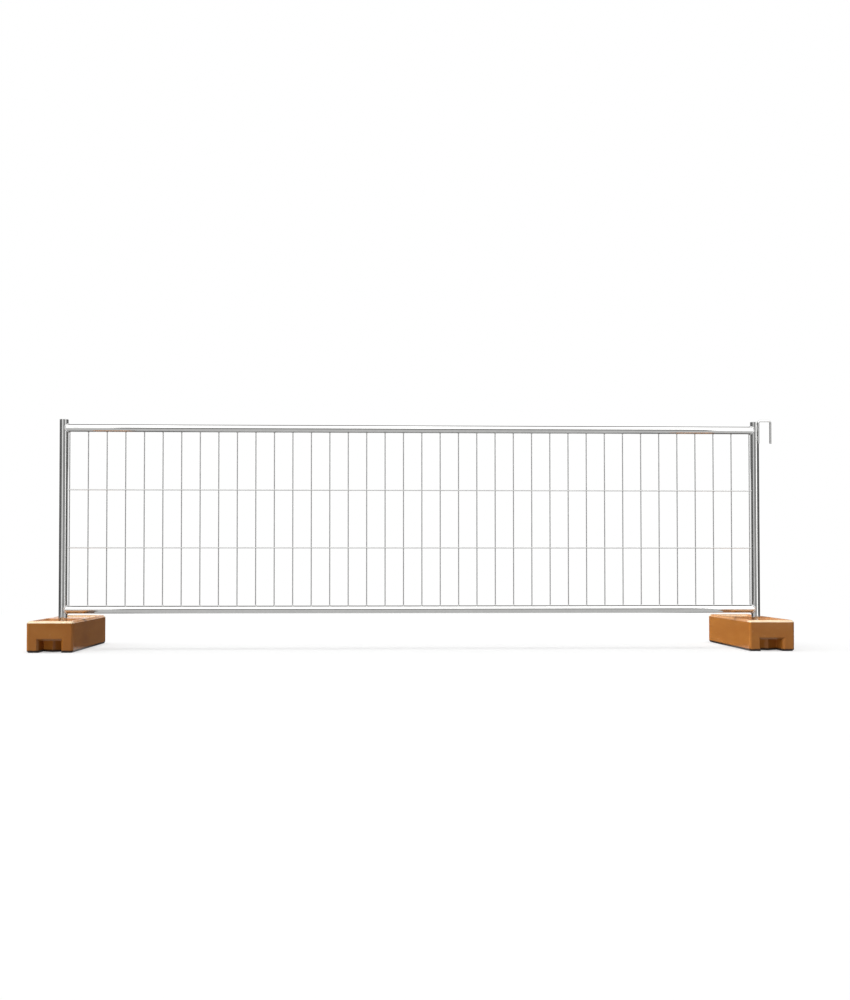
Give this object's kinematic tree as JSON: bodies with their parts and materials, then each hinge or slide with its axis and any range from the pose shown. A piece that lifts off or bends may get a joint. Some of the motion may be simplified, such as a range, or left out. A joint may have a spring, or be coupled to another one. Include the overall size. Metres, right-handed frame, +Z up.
{
  "type": "temporary fence panel",
  "caption": "Low mobile fence panel: welded tube frame with wire mesh and an inverted-U coupling hook, standing by its posts in moulded block feet.",
  "frame": {"origin": "on the ground, midway between the two feet and at the middle of their length", "axes": "+X along the panel towards the coupling hook, +Y across it towards the spare sockets, +Z up"},
  "size_m": [3.678, 0.6, 1.145],
  "materials": {
    "moulded_plastic": "satin ochre plastic, moulded solid, bevelled edges",
    "frame_steel": "bright zinc-galvanised tube and rod",
    "mesh_wire": "bright zinc-galvanised wire"
  },
  "bodies": {
    "left_foot": {"left_foot": "moulded_plastic"},
    "panel": {"left_post": "frame_steel", "right_post": "frame_steel", "top_rail": "frame_steel", "bottom_rail": "frame_steel", "coupling_hook": "frame_steel", "upper_cross_wire": "mesh_wire", "lower_cross_wire": "mesh_wire", "vertical_wire_01": "mesh_wire", "vertical_wire_02": "mesh_wire", "vertical_wire_03": "mesh_wire", "vertical_wire_04": "mesh_wire", "vertical_wire_05": "mesh_wire", "vertical_wire_06": "mesh_wire", "vertical_wire_07": "mesh_wire", "vertical_wire_08": "mesh_wire", "vertical_wire_09": "mesh_wire", "vertical_wire_10": "mesh_wire", "vertical_wire_11": "mesh_wire", "vertical_wire_12": "mesh_wire", "vertical_wire_13": "mesh_wire", "vertical_wire_14": "mesh_wire", "vertical_wire_15": "mesh_wire", "vertical_wire_16": "mesh_wire", "vertical_wire_17": "mesh_wire", "vertical_wire_18": "mesh_wire", "vertical_wire_19": "mesh_wire", "vertical_wire_20": "mesh_wire", "vertical_wire_21": "mesh_wire", "vertical_wire_22": "mesh_wire", "vertical_wire_23": "mesh_wire", "vertical_wire_24": "mesh_wire", "vertical_wire_25": "mesh_wire", "vertical_wire_26": "mesh_wire", "vertical_wire_27": "mesh_wire", "vertical_wire_28": "mesh_wire", "vertical_wire_29": "mesh_wire", "vertical_wire_30": "mesh_wire", "vertical_wire_31": "mesh_wire", "vertical_wire_32": "mesh_wire", "vertical_wire_33": "mesh_wire", "vertical_wire_34": "mesh_wire", "vertical_wire_35": "mesh_wire", "vertical_wire_36": "mesh_wire", "vertical_wire_37": "mesh_wire", "vertical_wire_38": "mesh_wire"},
    "right_foot": {"right_foot": "moulded_plastic"}
  },
  "joints": [
    {"name": "panel_lift", "type": "slide", "parent": "left_foot", "child": "panel", "axis": [0, 0, 1], "range_m": [0, 0.2]},
    {"name": "right_foot_release", "type": "slide", "parent": "panel", "child": "right_foot", "axis": [0, 0, -1], "range_m": [0, 0.2]}
  ],
  "couplings": [
    {"joint": "right_foot_release", "follows": "panel_lift", "ratio": 1}
  ]
}
